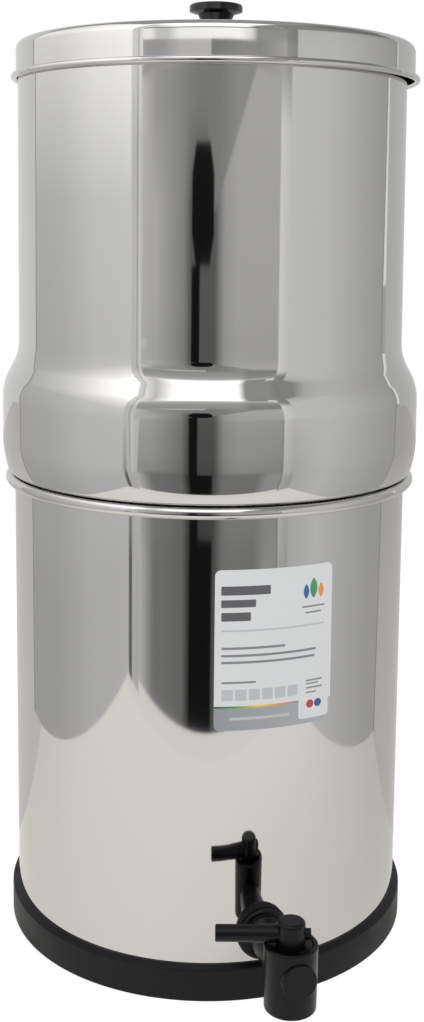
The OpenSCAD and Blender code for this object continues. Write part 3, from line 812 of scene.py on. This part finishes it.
def turnedSteel(name, k, centre):
    # Machined stainless screw: fine rings left by the turning tool, drawn coarse enough to show
    made = newMaterial(name)
    tree = made.node_tree
    where = add(tree, "TexCoord").outputs["Object"]
    centred = add(tree, "Mapping", {0: where, 1: (-centre.x, -centre.y, -centre.z)})
    rings = add(tree, "TexWave", {"Vector": centred, "Scale": 1 / k["ring"], "Distortion": 0.3},
                wave_type="RINGS", rings_direction="Z")
    bump = add(tree, "Bump", {"Strength": 1.0, "Distance": k["ringDepth"], "Height": rings.outputs["Fac"]})
    smooth, dull = k["roughness"]
    rough = add(tree, "MapRange", {0: rings.outputs["Fac"], 3: smooth, 4: dull})
    metal = add(tree, "BsdfPrincipled", {"Base Color": ink(k["colour"]), "Metallic": 1.0,
                                         "Roughness": rough, "Normal": bump})
    add(tree, "OutputMaterial", {"Surface": metal})
    return made


mouldings = {
    # name: colour, roughness, grain size, grain height, patch size, patch contrast, specular level
    # Synthetic rubber as it comes out of the mould: satin, and dull on the small seals
    "mouldedRubber": ("#121213", 0.48, 0.5 * mm, 0.010 * mm, 18 * mm, 0.12, 0.2),
    "sealRubber": ("#111112", 0.60, 0.3 * mm, 0.012 * mm, 18 * mm, 0.12, 0.2),
    # Injection-moulded nylon: half gloss, and a little duller on the lever that fingers turn
    "mouldedNylon": ("#0d0d0e", 0.30, 0.4 * mm, 0.005 * mm, 18 * mm, 0.12, 0.2),
    "leverNylon": ("#0e0e0f", 0.34, 0.4 * mm, 0.006 * mm, 18 * mm, 0.12, 0.2),
    # Phenolic resin pressed hot in a polished mould: deep gloss
    "phenolicResin": ("#0e0e0f", 0.14, 0.4 * mm, 0.001 * mm, 18 * mm, 0.12, 0.4),
    # Moulded silicone: soft and matte, with a faint dusty bloom
    "redSilicone": ("#b0392c", 0.55, 0.3 * mm, 0.010 * mm, 6 * mm, 0.08, 0.5),
    # Injection-moulded polypropylene: waxy and even
    "whitePolypropylene": ("#e4e3dc", 0.42, 0.5 * mm, 0.008 * mm, 12 * mm, 0.03, 0.5),
    # Fired diatomite: chalky and dry, with open pores about half a millimetre apart
    "firedCeramic": ("#ebe6d8", 0.90, 0.5 * mm, 0.090 * mm, 9 * mm, 0.06, 0.2),
    # Pressed charcoal grains of about a millimetre: black, rough and speckled
    "pressedCarbon": ("#1b1b1b", 0.78, 1.0 * mm, 0.200 * mm, 1.5 * mm, 0.35, 0.4),
}
finishes = {name: moulded(name, *values) for name, values in mouldings.items()}
screwSteel = turnedSteel("turnedStainless", screwLook, boxOf("knob_screw")[2])

ring = {"edge": 1.2 * mm, "fall": 1 * mm, "floor": 4 * mm, "ledge": 16 * mm, "lip": 0.3 * mm}


def addBaseRing(g):
    low, high = boxOf("base_ring")[:2]
    inner = lowerRadius(g["floor"])
    outline = [(inner - g["ledge"], low.z, g["lip"]),
               (high.x, low.z, g["edge"]),
               (high.x, high.z - g["fall"], g["edge"]),
               (lowerRadius(high.z), high.z),
               (inner, g["floor"], g["lip"]),
               (inner - g["ledge"], g["floor"], g["lip"])]
    made = finishMesh(spinOutline(outline, closed=True), "baseRing")
    made.data.materials.append(finishes["mouldedRubber"])
    return place(made, "vessel", ["base_ring"])


addBaseRing(ring)
print("base ring is moulded")


def addTapBody(t):
    # One nylon moulding: shank, flange, domed collar and barrel run into the spout
    wallR = lowerRadius(t["height"])
    flangeY = wallR + t["washer"]
    collarY = flangeY + t["flangeThick"]
    spoutY = wallR + t["reach"]
    top = t["foot"] + t["spoutHeight"]
    seat = t["foot"] + t["outletDeep"]
    floorZ = top - t["recessDeep"]
    at = Matrix.Translation((spoutY * math.sin(t["azimuth"]), -spoutY * math.cos(t["azimuth"]), 0))
    spout = [(0, t["foot"]), (t["spoutFoot"], t["foot"], t["spoutEdge"]),
             (t["spoutTop"], top, t["spoutEdge"]), (0, top)]
    shank = [(0, wallR - t["shankIn"]), (t["shank"], wallR - t["shankIn"], t["shankEdge"]),
             (t["shank"], flangeY), (t["flange"], flangeY, t["fillet"]),
             (t["flange"], collarY, t["flangeEdge"]), (t["collar"], collarY, t["fillet"]),
             (t["collar"], collarY + t["collarLength"] / 3, t["collarBend"]),
             (t["barrel"], collarY + t["collarLength"], t["fillet"]), (t["barrel"], spoutY), (0, spoutY)]
    padY = spoutY + t["spoutTop"] + t["padOut"]
    pad = [(0, spoutY), (t["pad"], spoutY), (t["pad"], padY, t["padEdge"]), (0, padY)]
    lead, over = t["lead"], t["sink"]
    inside = [(0, t["foot"] - over), (t["outlet"] + lead + over, t["foot"] - over),
              (t["outlet"], t["foot"] + lead), (t["outlet"], seat), (t["plugHole"], seat),
              (t["plugHole"], floorZ), (t["recess"], floorZ), (t["recess"], top - lead),
              (t["recess"] + lead + over, top + over), (0, top + over)]
    endY = wallR - t["shankIn"]
    bore = [(0, endY - over), (t["waterway"] + lead + over, endY - over),
            (t["waterway"], endY + lead), (t["waterway"], spoutY), (0, spoutY)]
    body = turned("tapBody", spout, at, hidden=False)
    others = [(turned("shank", shank, tapFrame()), "UNION"),
              (turned("pad", pad, tapFrame(t["foot"] + t["padRise"])), "UNION"),
              (turned("inside", inside, at), "DIFFERENCE"),
              (turned("bore", bore, tapFrame()), "DIFFERENCE")]
    for middle in t["stopPlaces"]:
        others.append((turnStop(t, floorZ - over, top - t["stopTop"], middle, at), "UNION"))
    joined(body, others)
    body.data.materials.append(finishes["mouldedNylon"])
    return place(body, "vessel", ["tap_body"])


def turnStop(t, bottom, top, middle, at):
    # A stop for the plug's tab: a block spun through its angle inside the recess
    bm = bmesh.new()
    inner, outer = t["stopInner"], t["recess"] + t["sink"]
    section = (inner, bottom), (outer, bottom), (outer, top), (inner, top)
    bm.faces.new([bm.verts.new((r, 0, z)) for r, z in section])
    bmesh.ops.spin(bm, geom=bm.verts[:] + bm.edges[:] + bm.faces[:], cent=(0, 0, 0), axis=(0, 0, 1),
                   angle=t["stopWidth"], steps=t["stopSteps"])
    bmesh.ops.recalc_face_normals(bm, faces=bm.faces)
    stop = finishMesh(bm, "stop")
    stop.data.transform(at @ Matrix.Rotation(middle - t["stopWidth"] / 2, 4, "Z"))
    return asTool(stop)


addTapBody(tap)
print("tap body is moulded")

label = {
    "azimuth": math.radians(18.4),
    "thick": 0.2 * mm,
    "glue": 0.05 * mm,
    "width": 61.5 * mm,
    "corner": 3 * mm,
    "cornerSteps": 8,
    "roughness": (0.36, 0.44),
    "patch": 14 * mm,
    "fibre": 0.6 * mm,
    "fibreDepth": 0.003 * mm,
    "facet": 2 * mm,
    # Painted shade: the white film is set to the light grey it shows in the dim light at the front
    "white": "#d1d2d3",
    "grey": "#a6a8aa",
    "bandGrey": "#909396",
    "text": "#5d5d60",
    "fineText": "#7f8083",
    "paleText": "#b5b7b9",
}
# Printed blocks in millimetres from the label's lower left corner: left, right, bottom, top
printed = {
    "text": [(2.9, 27.2, 67.9, 72.4), (2.9, 19.8, 61.8, 65.6), (3.0, 17.3, 55.0, 59.3)],
    "fineText": [(3.2, 35.2, 40.8, 42.0), (3.2, 52.3, 37.1, 38.3), (3.2, 51.7, 33.7, 34.9),
                 (3.4, 20.3, 23.7, 24.7), (44.0, 57.0, 59.1, 59.9), (46.0, 55.0, 56.1, 56.9),
                 (46.9, 56.3, 21.4, 22.2), (46.9, 54.0, 19.8, 20.5), (46.9, 56.3, 17.6, 18.4),
                 (46.9, 53.0, 15.3, 16.0)],
    "paleText": [(3.4 + 6.68 * i, 9.0 + 6.68 * i, 15.1, 20.7) for i in range(6)]
                + [(7.4, 37.9, 5.3, 6.7), (3.0, 57.0, 49.7, 50.6)],
}
stripe = {"right": 43, "bottom": 11.3, "top": 12.3,
          "colours": ["#1f5b3a", "#3f9a50", "#e6c23a", "#e08a3a", "#6f8fa8"]}
tab = (43.0, 60.2, 2.4, 16.0)  # white tab over the grey band
tabCorner = 1.6
bleed = 5  # how far inks run past the label's edge
lineCorner = 0.1  # round corners of the printed lines and blocks
printCorner = 0.5
cornerShare = 1 / 2.2  # largest round corner as a share of a block's height
inkEdge = 0.12  # softness of a printed edge
leaves = [("#2f64a8", 46.4, 7.6), ("#44925e", 50.6, 10.4), ("#e08c42", 54.8, 7.6)]  # middle, height
leafFoot = 63.4
leafWidth = 0.2  # half width as a share of the height
dots = [("#b8403c", 49.4, 9.7), ("#34599a", 54.0, 9.7)]
dotRadius = 2.1


def boxMask(tree, u, v, box, corner):
    # 1 inside a rounded box, 0 outside
    left, right, bottom, top = box
    sides = []
    for value, low, high in ((u, left, right), (v, bottom, top)):
        off = add(tree, "Math", {0: value, 1: (low + high) / 2}, operation="SUBTRACT")
        off = add(tree, "Math", {0: off}, operation="ABSOLUTE")
        off = add(tree, "Math", {0: off, 1: (high - low) / 2 - corner}, operation="SUBTRACT")
        sides.append(add(tree, "Math", {0: off, 1: 0.0}, operation="MAXIMUM"))
    return discMask(tree, sides[0], sides[1], corner)


def discMask(tree, x, y, radius):
    # 1 inside a disc, 0 outside
    square = add(tree, "Math", {0: y, 1: y}, operation="MULTIPLY")
    square = add(tree, "Math", {0: x, 1: x, 2: square}, operation="MULTIPLY_ADD")
    away = add(tree, "Math", {0: square}, operation="SQRT")
    away = add(tree, "Math", {0: radius, 1: away}, operation="SUBTRACT")
    return add(tree, "Math", {0: away, 1: 1 / inkEdge, 2: 0.5}, operation="MULTIPLY_ADD", use_clamp=True)


def labelFilm(l):
    # Screen-printed polypropylene film with a satin overlaminate: flat inks under one even sheen
    made = newMaterial("printedFilm")
    tree = made.node_tree
    uv = add(tree, "SeparateXYZ", {0: add(tree, "UVMap", uv_map="print")})
    u, v = uv.outputs[0], uv.outputs[1]
    width = l["width"] / mm
    across = add(tree, "Math", {0: u, 1: width}, operation="DIVIDE")
    band = add(tree, "ValToRGB", {0: across})
    setStops(band, [(0, ink(l["bandGrey"])), (1, ink(l["grey"]))])
    inks = stripe["colours"]
    share = add(tree, "Math", {0: u, 1: stripe["right"]}, operation="DIVIDE", use_clamp=True)
    rainbow = add(tree, "ValToRGB", {0: share})
    setStops(rainbow, [(i / (len(inks) - 1), ink(c)) for i, c in enumerate(inks)])
    below = (-bleed, width + bleed, -bleed, stripe["bottom"])
    line = (-bleed, stripe["right"], stripe["bottom"], stripe["top"])
    layers = [(band, boxMask(tree, u, v, below, lineCorner)),
              (rainbow, boxMask(tree, u, v, line, lineCorner)),
              # The tab is in the same white, darkened by painted shade
              (ink(l["white"]), boxMask(tree, u, v, tab, tabCorner))]
    for tone, boxes in printed.items():
        mask = 0.0
        for box in boxes:
            corner = min(printCorner, (box[3] - box[2]) * cornerShare)
            mask = add(tree, "Math", {0: mask, 1: boxMask(tree, u, v, box, corner)}, operation="MAXIMUM")
        layers.append((ink(l[tone]), mask))
    for tone, middle, height in leaves:
        half, wide = height / 2, height * leafWidth
        radius = (half * half + wide * wide) / (2 * wide)
        off = add(tree, "Math", {0: u, 1: middle}, operation="SUBTRACT")
        off = add(tree, "Math", {0: off}, operation="ABSOLUTE")
        x = add(tree, "Math", {0: off, 1: radius - wide}, operation="ADD")
        y = add(tree, "Math", {0: v, 1: leafFoot + half}, operation="SUBTRACT")
        layers.append((ink(tone), discMask(tree, x, y, radius)))
    for tone, x0, y0 in dots:
        x = add(tree, "Math", {0: u, 1: x0}, operation="SUBTRACT")
        y = add(tree, "Math", {0: v, 1: y0}, operation="SUBTRACT")
        layers.append((ink(tone), discMask(tree, x, y, dotRadius)))
    # The film's ground, in the white that is darkened by painted shade
    colour = ink(l["white"])
    for over, mask in layers:
        colour = add(tree, "Mix", {"Factor": mask, 6: colour, 7: over}, data_type="RGBA").outputs[2]
    where = add(tree, "TexCoord").outputs["Object"]
    fibre = add(tree, "TexNoise", {"Vector": where, "Scale": 1 / l["fibre"], "Detail": 3})
    cloud = add(tree, "TexNoise", {"Vector": where, "Scale": 1 / l["patch"], "Detail": 2})
    smooth, dull = l["roughness"]
    rough = add(tree, "MapRange", {0: cloud, 1: 0.3, 2: 0.7, 3: smooth, 4: dull})
    bump = add(tree, "Bump", {"Strength": 1.0, "Distance": l["fibreDepth"], "Height": fibre})
    film = add(tree, "BsdfPrincipled", {"Base Color": colour, "Roughness": rough, "IOR": 1.49,
                                        "Specular IOR Level": 0.35, "Normal": bump})
    add(tree, "OutputMaterial", {"Surface": film})
    return made


def addLabel(l):
    # A flat sheet with round corners, cut into strips and laid on the wall's cone
    low, high = boxOf("product_label")[:2]
    half, height = l["width"] / 2, high.z - low.z
    bm = bmesh.new()
    corners = (-half, 0), (half, 0), (half, height), (-half, height)
    bm.faces.new([bm.verts.new((x, 0, z)) for x, z in corners])
    bmesh.ops.bevel(bm, geom=bm.verts[:], offset=l["corner"], offset_type="OFFSET",
                    segments=l["cornerSteps"], profile=0.5, affect="VERTICES", material=-1)
    for index in range(1, int(l["width"] / l["facet"])):
        cut = (index * l["facet"] - half, 0, 0)
        bmesh.ops.bisect_plane(bm, geom=bm.verts[:] + bm.edges[:] + bm.faces[:], plane_co=cut,
                               plane_no=(1, 0, 0))
    grown = bmesh.ops.extrude_face_region(bm, geom=bm.faces[:])["geom"]
    grown = [g for g in grown if isinstance(g, bmesh.types.BMVert)]
    bmesh.ops.translate(bm, vec=(0, -l["thick"], 0), verts=grown)
    bmesh.ops.recalc_face_normals(bm, faces=bm.faces)
    layer = bm.loops.layers.uv.new("print")
    for face in bm.faces:
        for loop in face.loops:
            loop[layer].uv = ((loop.vert.co.x + half) / mm, loop.vert.co.z / mm)
    for vert in bm.verts:
        reach = lowerRadius(low.z + vert.co.z) + l["glue"] - vert.co.y
        vert.co = (vert.co.x, -math.sqrt(reach ** 2 - vert.co.x ** 2), low.z + vert.co.z)
    sheet = finishMesh(bm, "printedLabel")
    sheet.data.transform(Matrix.Rotation(l["azimuth"], 4, "Z"))
    sheet.data.materials.append(labelFilm(l))
    return place(sheet, "vessel", ["product_label"])


addLabel(label)
print("label is on")

nodeFinish = {
    "tap_outer_washer": "sealRubber", "tap_inner_washer": "sealRubber", "plug_o_ring": "sealRubber",
    "knob_washer": "sealRubber", "tap_nut": "mouldedNylon", "tap_plug": "mouldedNylon",
    "tap_lever": "leverNylon", "lid_knob": "phenolicResin",
}
for side in ("_left", "_right"):
    nodeFinish.update({"candle_shell" + side: "firedCeramic", "candle_core" + side: "pressedCarbon",
                       "candle_mount" + side: "whitePolypropylene", "candle_seal" + side: "redSilicone",
                       "candle_wing_nut" + side: "whitePolypropylene"})
nodeMaterials = {name: finishes[finish] for name, finish in nodeFinish.items()}
nodeMaterials["knob_screw"] = screwSteel
for name, finish in nodeMaterials.items():
    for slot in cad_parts[name].material_slots:
        slot.material = finish
print("carried parts are finished")
